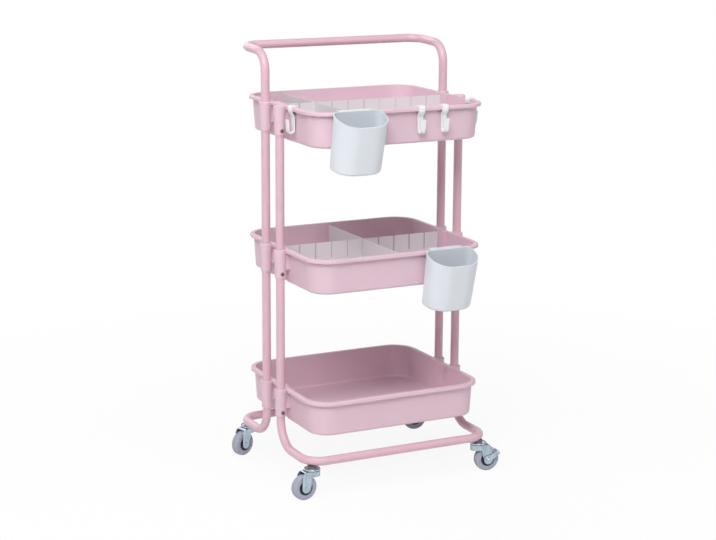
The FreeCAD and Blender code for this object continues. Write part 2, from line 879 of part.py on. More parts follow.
def make_brake(corner):
    """Pressed brake lever on the axle: ring, arm along the wheel's side and a pedal bent over the tread."""
    body = doc.addObject("PartDesign::Body", f"{corner}_brake_lever")
    outer_face = size.fork_gap / 2 + size.fork_sheet + size.free_play + size.lever_sheet
    arm_half, tip_half = size.lever_arm / 2, size.lever_tip / 2
    end = size.lever_reach + size.lever_sheet
    add_cylinder(body, "Additive", size.lever_ring_rad, size.lever_sheet, Vector(0, 0, -outer_face))
    arm = new_sketch(body, lift=-outer_face)
    draw_polygon(arm, [(0, -arm_half), (end, -tip_half), (end, tip_half), (0, arm_half)])
    add_extrusion(body, "Pad", arm, size.lever_sheet)
    pedal = new_sketch(body, lift=-outer_face)
    draw_polygon(
        pedal,
        [(size.lever_reach, -tip_half), (end, -tip_half), (end, tip_half), (size.lever_reach, tip_half)],
    )
    add_extrusion(body, "Pad", pedal, outer_face + size.wheel_width / 2)
    below = Vector(0, 0, -(outer_face + size.lever_sheet))
    hole = size.axle_dia / 2 + size.running_play
    add_cylinder(body, "Subtractive", hole, 3 * size.lever_sheet, below)
    # the lever's own X is along the arm, its Z along the axle
    upright = Rotation(Vector(1, 0, 0), Vector(0, 0, -1), Vector(0, 1, 0), "ZXY")
    raised = Rotation(Vector(0, 1, 0), -float(size.lever_rise))
    body.Placement = Placement(Vector(), raised.multiply(upright))
    hub = Vector(size.trail, 0, size.wheel_dia / 2)
    return place_caster_piece(body, f"{corner}_brake_lever", corner, hub)


def make_cup(name, tier, across):
    """Hanging cup: drafted D-shaped shell with a slanted mouth, hooked over a tray's front rim."""
    body = doc.addObject("PartDesign::Body", name)
    wall, gap = size.cup_wall, size.free_play
    crest = gap + wall
    mouth = new_sketch(body, lift=crest)
    half = size.cup_width / 2
    corners = [size.cup_front, size.cup_front, size.cup_back, size.cup_back]
    draw_rounded_box(mouth, -half, half, -size.cup_depth, 0, corners)
    block = add_extrusion(body, "Pad", mouth, size.cup_height, backwards=True)
    doc.recompute()
    top_z = float(crest) - NEAR
    sides = picked("Face", block.Shape.Faces, lambda box: box.ZLength > NEAR)
    top = picked("Face", block.Shape.Faces, lambda box: box.ZMin > top_z)
    draft = body.newObject("PartDesign::Draft", "Draft")
    draft.Base = (block, sides)
    draft.NeutralPlane = (block, top)
    draft.Reversed = True
    draft.setExpression("Angle", size.cup_draft.text)
    foot_z = float(crest - size.cup_height)
    foot = add_fillet(body, draft, lambda box: box.ZMax < foot_z + NEAR, size.foot_round)
    doc.recompute()
    shell = body.newObject("PartDesign::Thickness", "Shell")
    shell.Base = (foot, picked("Face", foot.Shape.Faces, lambda box: box.ZMin > top_z))
    shell.Reversed = True
    shell.setExpression("Value", size.cup_wall.text)
    # hook lip drawn upright, so that it sits level on the rim while the cup leans
    lip = new_sketch(body, "YZ_Plane", turn=-size.cup_tilt)
    over = size.rim_width + size.tray_wall + size.cup_stand + size.cup_play
    draw_polygon(
        lip,
        [
            (-gap, -2 * wall),
            (gap, -2 * wall),
            (0, gap),
            (over, gap),
            (over, -size.cup_lip_drop),
            (over + wall, -size.cup_lip_drop),
            (over + wall, crest),
            (-wall / 2, crest),
        ],
    )
    add_extrusion(body, "Pad", lip, size.cup_lip_width, both_ways=True)
    # the mouth is cut lower towards the front
    slant = new_sketch(body, "YZ_Plane")
    front = size.cup_depth + wall
    fall = front * math.tan(math.radians(float(size.cup_slant)))
    draw_polygon(slant, [(0, crest), (-front, crest - fall), (-front, crest + wall), (0, crest + wall)])
    add_extrusion(body, "Pocket", slant, 2 * size.cup_width, both_ways=True)
    body.Placement = Placement(
        Vector(across, -(size.tray_depth / 2 + size.cup_stand), rim_height(tier)),
        Rotation(Vector(1, 0, 0), float(size.cup_tilt)),
    )
    return keep(body, name)


def hook_path(body, inner_y, start_z):
    """Side view of a rim hook: up inside the rim and over it, tucked in below it, and out to the curl."""
    half, sheet, curl = size.hook_sheet / 2, size.hook_sheet, size.hook_curl
    rise = half + size.free_play
    neck_z = -(size.rim_drop + half)
    foot_z = -(size.hook_drop + curl)
    tip_y = size.hook_tuck - 2 * curl
    corners = [
        (inner_y, start_z),
        (inner_y, rise),
        (-rise, rise),
        (-rise, neck_z),
        (size.hook_tuck, neck_z - size.hook_slope),
        (size.hook_tuck, foot_z),
        (tip_y, foot_z),
        (tip_y - half, foot_z + curl + size.hook_lift),
    ]
    spots = [Vector(across, up, 0) for across, up in corners]
    path = new_sketch(body, "YZ_Plane")
    for index, run in enumerate(bent_run(spots, [sheet, sheet, sheet, sheet, curl, curl])):
        path.addGeometry(run)
        path.addConstraint(Sketcher.Constraint("Block", index))
    return path


def make_hook(name, side, along):
    """Strip hook that grips a tray's rim and narrows towards its curled foot."""
    body = doc.addObject("PartDesign::Body", name)
    half, wide, narrow = size.hook_sheet / 2, size.hook_width / 2, size.hook_tip / 2
    middle = size.rim_width + size.tray_wall + half + size.hook_play
    hook_path_sketch = hook_path(body, middle, -size.cup_lip_drop)
    section = new_sketch(body, lift=-size.cup_lip_drop)
    draw_polygon(
        section,
        [(-wide, middle - half), (wide, middle - half), (wide, middle + half), (-wide, middle + half)],
    )
    strip = body.newObject("PartDesign::AdditivePipe", "Strip")
    strip.Profile = section
    strip.Spine = (hook_path_sketch, [])
    taper = new_sketch(body, "XZ_Plane")
    low = -(size.hook_drop + 2 * size.hook_curl)
    for hand in (-1, 1):
        far = hand * 2 * wide
        draw_polygon(taper, [(hand * wide, 0), (far, low / 2), (far, low), (hand * narrow, low)])
    add_extrusion(body, "Pocket", taper, 8 * size.hook_drop, both_ways=True)
    rim_z = rim_height(2)
    spot, turn = {
        "front": (Vector(along, -size.tray_depth / 2, rim_z), 0.0),
        "left": (Vector(-size.tray_length / 2, along, rim_z), -90.0),
        "right": (Vector(size.tray_length / 2, along, rim_z), 90.0),
    }[side]
    body.Placement = Placement(spot, Rotation(UP, turn))
    return keep(body, name)


def divider_blank(name, half_top):
    """Upright plate with drafted ends and its lower corners cut off, standing on the XZ plane."""
    body = doc.addObject("PartDesign::Body", name)
    face = new_sketch(body, "XZ_Plane")
    half_foot = half_top - size.wall_draft
    low, heel = -size.divider_height, 2 * size.floor_round
    draw_polygon(
        face,
        [
            (heel - half_foot, low),
            (half_foot - heel, low),
            (half_foot, low + heel),
            (half_top, 0),
            (-half_top, 0),
            (-half_foot, low + heel),
        ],
    )
    add_extrusion(body, "Pad", face, size.divider_sheet, both_ways=True)
    return body


def divider_top(tier):
    """Height of the upper edge of a divider that stands on the tray's floor."""
    return rim_height(tier) - size.tray_height + size.tray_wall + size.divider_height + size.free_play


def make_long_divider(name, tier):
    """Lengthwise divider between the recesses of the two ends, slotted from above at a regular pitch."""
    inset = size.rim_width + size.tray_wall + size.recess_depth + size.divider_play
    body = divider_blank(name, size.tray_length / 2 - inset)
    slot = new_sketch(body, "XZ_Plane")
    first, half = -size.slot_pitch * (SLOT_COUNT // 2), size.divider_slot / 2
    low, past = -size.divider_height / 2, size.divider_slot
    draw_polygon(slot, [(first - half, low), (first + half, low), (first + half, past), (first - half, past)])
    pocket = add_extrusion(body, "Pocket", slot, 2 * size.divider_slot, both_ways=True)
    doc.recompute()
    row = body.newObject("PartDesign::LinearPattern", "SlotRow")
    row.Originals = [pocket]
    row.Direction = (slot, ["H_Axis"])
    row.setExpression("Length", (size.slot_pitch * (SLOT_COUNT - 1)).text)
    row.Occurrences = SLOT_COUNT
    body.Tip = row
    body.Placement = Placement(Vector(0, 0, divider_top(tier)), Rotation())
    return keep(body, name)


def make_cross_divider(name, tier, slot_index):
    """Crosswise divider, slotted from below so that it straddles the long one."""
    body = divider_blank(name, size.tray_depth / 2 - (size.rim_width + size.tray_wall + size.cross_play))
    slot = new_sketch(body, "XZ_Plane")
    half = size.divider_slot / 2
    low, high = -size.divider_height - size.divider_slot, -size.divider_height / 2 + size.free_play
    draw_polygon(slot, [(-half, low), (half, low), (half, high), (-half, high)])
    add_extrusion(body, "Pocket", slot, 2 * size.divider_slot, both_ways=True)
    spot = Vector(slot_index * size.slot_pitch, 0, divider_top(tier))
    body.Placement = Placement(spot, Rotation(UP, 90.0))
    return keep(body, name)


for tray, tier in TRAYS.items():
    make_tray(tray, tier, front_capped=tray == "top_tray")
for level, tier in (("lower", 0), ("upper", 1)):
    for across, side in (("left", -1), ("right", 1)):
        for depth, end in (("front", -1), ("rear", 1)):
            make_post(f"{level}_{depth}_{across}_post", side, end, tier)
make_leg("front_leg_tube", -1)
make_leg("rear_leg_tube", 1)
make_handle("handle_tube")
make_screws("sleeve_screws")
make_nuts("caster_weld_nuts")
for corner in CASTERS:
    make_stem(corner)
    make_fork(corner)
    make_axle(corner)
    make_core(corner)
    make_tread(corner)
    if corner in BRAKED:
        make_brake(corner)
for cup, (tier, across) in CUPS.items():
    make_cup(cup, tier, across)
for hook, (side, along) in HOOKS.items():
    make_hook(hook, side, along)
for level, (tier, slot_index) in DIVIDERS.items():
    make_long_divider(f"{level}_long_divider", tier)
    make_cross_divider(f"{level}_cross_divider", tier, slot_index)

doc.recompute()
failed = [item.Name for item in doc.Objects if {"Invalid", "Error"} & set(item.State)]
failed += [node.Label for node in nodes if node.Shape.isNull() or not node.Shape.isValid()]
if failed:
    raise RuntimeError(f"features that did not build: {failed}")

os.makedirs("parts", exist_ok=True)
for node in nodes:
    node.Shape.exportStep(f"parts/{node.Label}.step")
print(f"{len(nodes)} sub-parts written")
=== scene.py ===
import math

import bmesh
import bpy
from bpy.props import FloatProperty, FloatVectorProperty, IntProperty, PointerProperty
from mathutils import Euler, Matrix, Vector


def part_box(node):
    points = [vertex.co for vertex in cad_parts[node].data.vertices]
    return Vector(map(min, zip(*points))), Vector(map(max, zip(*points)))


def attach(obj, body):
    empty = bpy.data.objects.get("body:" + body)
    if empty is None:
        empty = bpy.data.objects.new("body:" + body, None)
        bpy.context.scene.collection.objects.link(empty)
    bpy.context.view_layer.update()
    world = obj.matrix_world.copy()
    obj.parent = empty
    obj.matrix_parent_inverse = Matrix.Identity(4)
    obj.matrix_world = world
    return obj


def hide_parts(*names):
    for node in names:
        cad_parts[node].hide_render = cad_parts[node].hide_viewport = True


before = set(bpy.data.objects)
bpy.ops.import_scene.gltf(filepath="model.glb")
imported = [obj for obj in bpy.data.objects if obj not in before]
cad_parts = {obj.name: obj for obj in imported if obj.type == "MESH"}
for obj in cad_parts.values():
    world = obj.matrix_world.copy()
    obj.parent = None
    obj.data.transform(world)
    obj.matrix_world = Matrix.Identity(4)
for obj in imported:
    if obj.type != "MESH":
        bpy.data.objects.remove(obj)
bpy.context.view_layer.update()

bl_info = {
    "name": "Rolling Utility Cart",
    "version": (1, 0, 0),
    "blender": (4, 5, 0),
    "location": "View3D > Sidebar > Cart",
    "description": "Finishes and fine fittings of a three-tier rolling cart, in a plain studio",
    "category": "Object",
}

TRAYS = ("bottom_tray", "middle_tray", "top_tray")
MM = 0.001
WHITE = (1.0, 1.0, 1.0, 1.0)

# Painted shade of the tube above darkens a caster's stem from this far above its fork, over a soft edge.
RACEWAY_RISE = 3.5 * MM
STEM_SHADE_EDGE = 0.4 * MM

# How much longer a pattern is along X, Y and Z.
ROUND = (1.0, 1.0, 1.0)
UPRIGHT = (1.0, 1.0, 4.0)

# Most of a noise pattern lies between these two values.
NOISE_LOW = 0.25
NOISE_HIGH = 0.75

# Colour sockets of a Mix node, whose names are shared with its other kinds.
MIX_A = 6
MIX_B = 7
MIX_COLOUR = 2

# Outline of a domed screw head, as shares of its radius and of its rise.
HEAD_OUTLINE = ((1.0, 0.0), (1.0, 0.35), (0.86, 0.72), (0.62, 0.94), (0.56, 1.0))

# The screw's tip, as a share of the shank's radius, and where its taper starts along the length.
TIP_RADIUS = 0.5
TIP_START = 0.8

# The cross recess: its border as a share of the head's radius, its depth as a share of the rise,
# the number of its arms, and how many arms side by side would fill a quarter of the head.
RECESS_BORDER = 0.12
RECESS_DEPTH = 0.6
RECESS_ARMS = 4
ARMS_TO_A_QUARTER = 3

# Points closer than this are one point.
WELD = 0.001 * MM

# Each soft light's name, place and width in metres. Its power is a setting of the stage.
LIGHTS = (
    ("key", (-1.9, -2.7, 3.3), 2.0),
    ("overhead", (-0.2, -0.9, 3.4), 1.8),
    ("side", (-1.7, -0.6, 2.2), 1.5),
    ("fill", (2.4, -2.2, 2.4), 2.6),
    ("back", (-0.4, 3.4, 2.2), 3.0),
)
LIGHT_TARGET = Vector((0.0, 0.0, 0.4))

# Floor and camera: the floor's half width and the radius of its full shadow in metres, the sensor in mm.
FLOOR_HALF_WIDTH = 20.0
FLOOR_SQUARES = 8
SHADOW_CORE = 0.3
SENSOR_WIDTH = 36.0

# Rise of the view, from 0 at eye level to 1 overhead, between which the sky turns from white to grey.
SKY_WHITE_BELOW = 0.3
SKY_GREY_ABOVE = 0.8


def linear(code):
    """Linear RGBA of an sRGB hex colour."""
    channels = [int(code[start : start + 2], 16) / 255 for start in (0, 2, 4)]
    return (*[c / 12.92 if c <= 0.04045 else ((c + 0.055) / 1.055) ** 2.4 for c in channels], 1.0)


def per_metre(millimetres):
    """Pattern scale whose cells are that many millimetres across on Object coordinates."""
    return 1.0 / (millimetres * MM)


def colour_setting(name, description, code):
    """Colour property with an sRGB hex default."""
    return FloatVectorProperty(
        name=name,
        description=description,
        subtype="COLOR",
        size=4,
        min=0.0,
        max=1.0,
        default=linear(code),
    )


class CartFinishes(bpy.types.PropertyGroup):
    """Colours of the cart's pieces."""

    tube: colour_setting("Tubes", "Powder coat on the steel tubes", "dab4c0")
    tray: colour_setting("Trays", "Moulded plastic of the trays", "ddbfcc")
    cup: colour_setting("Cups", "Moulded plastic of the hanging cups", "dbe0e6")
    hook: colour_setting("Hooks", "Moulded plastic of the rim hooks", "e9eaec")
    divider: colour_setting("Dividers", "Moulded sheet of the tray dividers", "dededf")
    zinc: colour_setting("Zinc", "Bright plated fork, axle and lever", "bfcedb")
    chrome: colour_setting("Raceway", "Bright ring of the swivel", "ccd4da")
    # Painted shade: the stem between the swivel and the tube is coloured dark as the tube's shade and the
    # ball race's dark gap.
    stem_shade: colour_setting("Neck", "Dark neck between the swivel and the tube", "77747c")
    tread: colour_setting("Tread", "Grey rubber tyre", "a4a8b6")
    # Painted shade: the recessed wheel core is coloured dark as the shade that falls in its recess.
    core: colour_setting("Core", "Dark moulded wheel core", "3a3a42")
    screw: colour_setting("Screws", "Dark oxide on the sleeve screws", "8c7074")


class CartScrews(bpy.types.PropertyGroup):
    """Sizes of the cross-head screws in the tray sleeves."""

    head: FloatProperty(name="Head", description="Head diameter", default=7.5 * MM, unit="LENGTH")
    rise: FloatProperty(name="Rise", description="Height of the domed head", default=2.2 * MM, unit="LENGTH")
    shank: FloatProperty(name="Shank", description="Shank diameter", default=4.0 * MM, unit="LENGTH")
    length: FloatProperty(name="Length", description="Length below the head", default=9.0 * MM, unit="LENGTH")
    below_rim: FloatProperty(
        name="Below Rim",
        description="Distance of the screws below a tray's rim",
        default=48.0 * MM,
        unit="LENGTH",
    )
    segments: IntProperty(name="Segments", description="Sides of a round head", default=24, min=12)


class CartStage(bpy.types.PropertyGroup):
    """Camera, floor and lights of the studio."""

    place: FloatVectorProperty(
        name="Camera",
        description="Camera position",
        subtype="TRANSLATION",
        default=(-1.6406, -3.2215, 1.2212),
    )
    aim: FloatVectorProperty(
        name="Aim",
        description="Camera turn, dip and roll",
        subtype="EULER",
        default=(math.radians(-26.84), math.radians(12.74), math.radians(0.31)),
    )
    lens: FloatProperty(
        name="Lens", description="Focal length on a 36 mm wide sensor", default=92.62, unit="CAMERA"
    )
    floor: colour_setting("Floor", "Pale studio floor", "f4f4f4")
    floor_white: FloatProperty(
        name="Floor White",
        description="Share of plain white in the floor beside the cart",
        default=0.9,
        min=0.0,
        max=1.0,
        subtype="FACTOR",
    )
    shadow_reach: FloatProperty(
        name="Shadow Reach",
        description="Distance at which the floor is plain white",
        default=1.6,
        unit="LENGTH",
    )
    ceiling: colour_setting("Ceiling", "Grey overhead of the studio", "8c8c90")
    key: FloatProperty(name="Key", description="Large soft key light", default=109.0, unit="POWER")
    overhead: FloatProperty(name="Overhead", description="Soft light from above", default=22.0, unit="POWER")
    side: FloatProperty(name="Side", description="Soft light from the upper left", default=10.0, unit="POWER")
    fill: FloatProperty(name="Fill", description="Soft fill from the other side", default=12.0, unit="POWER")
    back: FloatProperty(name="Back", description="Soft light from behind", default=40.0, unit="POWER")
    sky: FloatProperty(name="Sky", description="Even light from all around", default=0.4)


def add_node(tree, kind, inputs=None, **settings):
    """Add a shader node, set its properties, and fill or link its sockets."""
    node = tree.nodes.new(kind)
    for name, value in settings.items():
        setattr(node, name, value)
    for socket, value in (inputs or {}).items():
        if isinstance(value, bpy.types.NodeSocket):
            tree.links.new(value, node.inputs[socket])
        else:
            node.inputs[socket].default_value = value
    return node


def new_surface(name):
    """Empty material with its node tree and the Object coordinates that its patterns use."""
    material = bpy.data.materials.new(name)
    material.use_nodes = True
    tree = material.node_tree
    tree.nodes.clear()
    return material, tree, add_node(tree, "ShaderNodeTexCoord").outputs["Object"]


def shade(colour, factor):
    """Lighter or darker tone of a colour."""
    return (*[channel * factor for channel in colour[:3]], 1.0)


def uneven_surface(
    name, colour, contrast, patch_mm, rough, grain_mm, grain_depth_mm, constants, stretch=ROUND
):
    """Surface with broad colour drift, uneven gloss and a fine raised grain, all at sizes in millimetres."""
    material, tree, place = new_surface(name)
    drawn = add_node(tree, "ShaderNodeVectorMath", {0: place, 1: stretch}, operation="DIVIDE")
    patches = add_node(
        tree,
        "ShaderNodeTexNoise",
        {"Vector": drawn.outputs[0], "Scale": per_metre(patch_mm), "Detail": 4.0, "Roughness": 0.6},
    )
    drift = add_node(
        tree,
        "ShaderNodeMix",
        {
            "Factor": patches.outputs["Fac"],
            MIX_A: shade(colour, 1 - contrast),
            MIX_B: shade(colour, 1 + contrast / 2),
        },
        data_type="RGBA",
    )
    gloss = add_node(
        tree,
        "ShaderNodeMapRange",
        {
            "Value": patches.outputs["Fac"],
            "From Min": NOISE_LOW,
            "From Max": NOISE_HIGH,
            "To Min": rough[0],
            "To Max": rough[1],
        },
    )
    grain = add_node(
        tree,
        "ShaderNodeTexNoise",
        {"Vector": place, "Scale": per_metre(grain_mm), "Detail": 2.0, "Roughness": 0.5},
    )
    relief = add_node(
        tree,
        "ShaderNodeBump",
        {"Height": grain.outputs["Fac"], "Strength": 1.0, "Distance": grain_depth_mm * MM},
    )
    shader = add_node(
        tree,
        "ShaderNodeBsdfPrincipled",
        {
            "Base Color": drift.outputs[MIX_COLOUR],
            "Roughness": gloss.outputs["Result"],
            "Normal": relief.outputs["Normal"],
            **constants,
        },
    )
    add_node(tree, "ShaderNodeOutputMaterial", {"Surface": shader.outputs["BSDF"]})
    return material


def coated_steel(colour):
    """Powder-coated steel tube: fused polyester powder, an even satin with a faint orange peel."""
    # Orange peel is 1 to 2 mm across on the real coat. It is drawn coarser, so that it shows.
    return uneven_surface(
        "powder_coated_steel_tube",
        colour,
        contrast=0.04,
        patch_mm=60.0,
        rough=(0.32, 0.4),
        grain_mm=6.0,
        grain_depth_mm=0.03,
        constants={"IOR": 1.5},
    )


def moulded_polypropylene(colour):
    """Injection-moulded polypropylene tray: soft sheen and the fine spark-eroded grain of its mould."""
    # The real grain is a few tenths of a millimetre. It is drawn coarser, so that it shows.
    return uneven_surface(
        "moulded_polypropylene_tray",
        colour,
        contrast=0.05,
        patch_mm=85.0,
        rough=(0.4, 0.5),
        grain_mm=1.4,
        grain_depth_mm=0.05,
        constants={"IOR": 1.49},
    )


def moulded_polystyrene(colour):
    """Injection-moulded white polystyrene cup: smooth, glossier, with the faint flow marks of moulding."""
    return uneven_surface(
        "moulded_polystyrene_cup",
        colour,
        contrast=0.015,
        patch_mm=70.0,
        rough=(0.28, 0.34),
        grain_mm=3.0,
        grain_depth_mm=0.012,
        constants={"IOR": 1.55},
    )


def moulded_acetal(colour):
    """Injection-moulded acetal hook: dense, slightly waxy white."""
    return uneven_surface(
        "moulded_acetal_hook",
        colour,
        contrast=0.03,
        patch_mm=18.0,
        rough=(0.32, 0.44),
        grain_mm=1.2,
        grain_depth_mm=0.015,
        constants={"IOR": 1.48},
    )


def moulded_sheet(colour):
    """Moulded polypropylene divider sheet: thin, light grey, finely grained."""
    return uneven_surface(
        "moulded_polypropylene_divider",
        colour,
        contrast=0.04,
        patch_mm=40.0,
        rough=(0.42, 0.54),
        grain_mm=1.0,
        grain_depth_mm=0.02,
        constants={"IOR": 1.49},
    )


def zinc_plate(colour):
    """Bright zinc-plated pressed steel: blue-white metal with upright drawing streaks, and a painted darker
    reflection at its edges from a dim edge tint.
    """
    return uneven_surface(
        "zinc_plated_steel",
        colour,
        contrast=0.7,
        patch_mm=5.5,
        rough=(0.14, 0.3),
        grain_mm=0.9,
        grain_depth_mm=0.012,
        # Painted reflection: the edge tint, far below the metal's colour, darkens grazing reflections as if
        # dark surroundings were mirrored there.
        constants={"Metallic": 1.0, "Specular Tint": shade(colour, 0.45)},
        stretch=UPRIGHT,
    )


def chrome_plate(ring, stem_shade, stem_shade_low):
    """Chrome-plated raceway ring, nearly a mirror with light rub marks; above it the stem is dull, and
    painted dark as the tube's shade and the ball race's dark gap.
    """
    material, tree, place = new_surface("chrome_plated_raceway_steel")
    height = add_node(tree, "ShaderNodeSeparateXYZ", {"Vector": place})
    # Painted shade mask: 1 on the stem above the raceway, where the tube's shade is painted.
    stem_shade_mask = add_node(
        tree,
        "ShaderNodeMapRange",
        {"Value": height.outputs["Z"], "From Min": stem_shade_low, "From Max": stem_shade_low + STEM_SHADE_EDGE},
    )
    rubs = add_node(
        tree, "ShaderNodeTexNoise", {"Vector": place, "Scale": per_metre(5.0), "Detail": 4.0}
    )
    worn = add_node(
        tree,
        "ShaderNodeMix",
        {"Factor": rubs.outputs["Fac"], MIX_A: shade(ring, 0.82), MIX_B: ring},
        data_type="RGBA",
    )
    # Painted shade: the stem above the raceway takes the dark shade colour in place of the chrome.
    colour = add_node(
        tree,
        "ShaderNodeMix",
        {"Factor": stem_shade_mask.outputs["Result"], MIX_A: worn.outputs[MIX_COLOUR], MIX_B: stem_shade},
        data_type="RGBA",
    )
    polish = add_node(
        tree,
        "ShaderNodeMapRange",
        {
            "Value": rubs.outputs["Fac"],
            "From Min": NOISE_LOW,
            "From Max": NOISE_HIGH,
            "To Min": 0.1,
            "To Max": 0.22,
        },
    )
    gloss = add_node(
        tree,
        "ShaderNodeMapRange",
        {"Value": stem_shade_mask.outputs["Result"], "To Min": polish.outputs["Result"], "To Max": 0.5},
    )
    relief = add_node(
        tree, "ShaderNodeBump", {"Height": rubs.outputs["Fac"], "Strength": 1.0, "Distance": 0.008 * MM}
    )
    shader = add_node(
        tree,
        "ShaderNodeBsdfPrincipled",
        {
            "Base Color": colour.outputs[MIX_COLOUR],
            "Roughness": gloss.outputs["Result"],
            "Normal": relief.outputs["Normal"],
            "Metallic": 1.0,
        },
    )
    add_node(tree, "ShaderNodeOutputMaterial", {"Surface": shader.outputs["BSDF"]})
    return material


def black_oxide(colour):
    """Dark oxide screw steel: oily brown-black metal with worn edges."""
    return uneven_surface(
        "black_oxide_steel_screw",
        colour,
        contrast=0.3,
        patch_mm=1.6,
        rough=(0.34, 0.5),
        grain_mm=0.5,
        grain_depth_mm=0.01,
        constants={"Metallic": 1.0},
    )


def tread_rubber(colour):
    """Grey thermoplastic rubber tyre: matt, dusty, with scuffs from rolling."""
    return uneven_surface(
        "grey_thermoplastic_rubber_tyre",
        colour,
        contrast=0.12,
        patch_mm=9.0,
        rough=(0.62, 0.8),
        grain_mm=0.8,
        grain_depth_mm=0.03,
        constants={"IOR": 1.52},
    )


def nylon(colour):
    """Moulded nylon wheel core: low sheen, slightly grained; its dark colour is painted shade of its recess.
    """
    return uneven_surface(
        "moulded_nylon_wheel_core",
        colour,
        contrast=0.12,
        patch_mm=8.0,
        rough=(0.4, 0.55),
        grain_mm=0.8,
        grain_depth_mm=0.02,
        constants={"IOR": 1.53},
    )


def dress(names, material):
    """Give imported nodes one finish, whatever material slots they came with."""
    for name in names:
        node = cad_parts[name]
        if not node.material_slots:
            node.data.materials.append(material)
        for slot in node.material_slots:
            slot.link = "OBJECT"
            slot.material = material


def nodes_with(*endings):
    """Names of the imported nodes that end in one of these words."""
    found = [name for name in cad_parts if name.endswith(endings)]
    if not found:
        raise RuntimeError(f"no nodes end with {endings}")
    return found


class CART_OT_tubes(bpy.types.Operator):
    """Finish the leg loops, posts and push handle."""

    bl_idname = "cart.tubes"
    bl_label = "Steel Tubes"

    def execute(self, context):
        dress(nodes_with("_post", "_tube"), coated_steel(context.scene.cart_finishes.tube))
        return {"FINISHED"}


class CART_OT_trays(bpy.types.Operator):
    """Finish the three moulded trays."""

    bl_idname = "cart.trays"
    bl_label = "Trays"

    def execute(self, context):
        dress(TRAYS, moulded_polypropylene(context.scene.cart_finishes.tray))
        return {"FINISHED"}


class CART_OT_screws(bpy.types.Operator):
    """Model the domed cross-head screws and set one in every sleeve."""

    bl_idname = "cart.screws"
    bl_label = "Sleeve Screws"

    def execute(self, context):
        sizes = context.scene.cart_screws
        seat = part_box("sleeve_screws")[1][1] - sizes.rise
        mesh = bmesh.new()
        for tray in TRAYS:
            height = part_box(tray)[1][2] - sizes.below_rim
            for post in ("lower_front_left_post", "lower_front_right_post"):
                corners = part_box(post)
                across = (corners[0][0] + corners[1][0]) / 2
                for end in (-1, 1):
                    self.add_screw(mesh, sizes, Vector((across, end * seat, height)), end)
        data = bpy.data.meshes.new("cross_head_screws")
        mesh.to_mesh(data)
        mesh.free()
        screws = bpy.data.objects.new("cross_head_screws", data)
        bpy.context.collection.objects.link(screws)
        data.materials.append(black_oxide(context.scene.cart_finishes.screw))
        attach(screws, "frame")
        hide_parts("sleeve_screws")
        return {"FINISHED"}

    def add_screw(self, mesh, sizes, place, end):
        """One screw: spun profile, with a cross-shaped recess let into the head."""
        head = sizes.head / 2
        shank = sizes.shank / 2
        profile = [
            (0.0, -sizes.length),
            (shank * TIP_RADIUS, -sizes.length),
            (shank, -sizes.length * TIP_START),
            (shank, 0.0),
            *[(head * radius, sizes.rise * height) for radius, height in HEAD_OUTLINE],
        ]
        turned = bmesh.new()
        points = [turned.verts.new((radius, 0.0, height)) for radius, height in profile]
        edges = [turned.edges.new(pair) for pair in zip(points, points[1:])]
        bmesh.ops.spin(
            turned,
            geom=points + edges,
            axis=(0, 0, 1),
            cent=(0, 0, 0),
            angle=math.tau,
            steps=sizes.segments,
            use_merge=True,
        )
        bmesh.ops.remove_doubles(turned, verts=turned.verts, dist=WELD)
        self.sink_cross(turned, sizes, head)
        bmesh.ops.recalc_face_normals(turned, faces=turned.faces)
        turn = Matrix.Rotation(math.radians(-90.0 * end), 4, "X")
        bmesh.ops.transform(turned, matrix=Matrix.Translation(place) @ turn, verts=turned.verts)
        part = bpy.data.meshes.new("screw")
        turned.to_mesh(part)
        turned.free()
        mesh.from_mesh(part)
        bpy.data.meshes.remove(part)

    def sink_cross(self, turned, sizes, head):
        """Close the head's flat top and sink four of its wedges into a cross."""
        rims = [edge for edge in turned.edges if edge.is_boundary]
        top = bmesh.ops.contextual_create(turned, geom=rims)["faces"]
        bmesh.ops.inset_individual(turned, faces=top, thickness=head * RECESS_BORDER, depth=0.0)
        wedges = bmesh.ops.poke(turned, faces=top)["faces"]
        quarter = sizes.segments // RECESS_ARMS
        arm = sizes.segments // (RECESS_ARMS * ARMS_TO_A_QUARTER)
        arms = [face for index, face in enumerate(wedges) if index % quarter < arm]
        pit = bmesh.ops.extrude_face_region(turned, geom=arms)["geom"]
        sunk = [item for item in pit if isinstance(item, bmesh.types.BMVert)]
        bmesh.ops.translate(turned, verts=sunk, vec=(0, 0, -sizes.rise * RECESS_DEPTH))
        bmesh.ops.delete(turned, geom=arms, context="FACES")


class CART_OT_casters(bpy.types.Operator):
    """Finish the swivel casters: stems, forks, axles, wheels, brake levers and the nuts they screw into."""

    bl_idname = "cart.casters"
    bl_label = "Casters"

    def execute(self, context):
        finishes = context.scene.cart_finishes
        dress(nodes_with("_fork", "_axle", "_lever", "_nuts"), zinc_plate(finishes.zinc))
        # Painted shade on the stem starts just above the raceway ring.
        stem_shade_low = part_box("front_left_caster_fork")[1][2] + RACEWAY_RISE
        dress(nodes_with("_stem"), chrome_plate(finishes.chrome, finishes.stem_shade, stem_shade_low))
        dress(nodes_with("_tread"), tread_rubber(finishes.tread))
        # Painted shade: the dark core colour stands for the shade in the wheel's recessed face.
        dress(nodes_with("_core"), nylon(finishes.core))
        return {"FINISHED"}


class CART_OT_cups(bpy.types.Operator):
    """Finish the hanging cups."""

    bl_idname = "cart.cups"
    bl_label = "Hanging Cups"

    def execute(self, context):
        dress(nodes_with("_cup"), moulded_polystyrene(context.scene.cart_finishes.cup))
        return {"FINISHED"}


class CART_OT_hooks(bpy.types.Operator):
    """Finish the rim hooks."""

    bl_idname = "cart.hooks"
    bl_label = "Rim Hooks"

    def execute(self, context):
        hooks = nodes_with("_hook", "_hook_left", "_hook_right")
        dress(hooks, moulded_acetal(context.scene.cart_finishes.hook))
        return {"FINISHED"}


class CART_OT_dividers(bpy.types.Operator):
    """Finish the tray dividers."""

    bl_idname = "cart.dividers"
    bl_label = "Tray Dividers"

    def execute(self, context):
        dress(nodes_with("_divider"), moulded_sheet(context.scene.cart_finishes.divider))
        return {"FINISHED"}


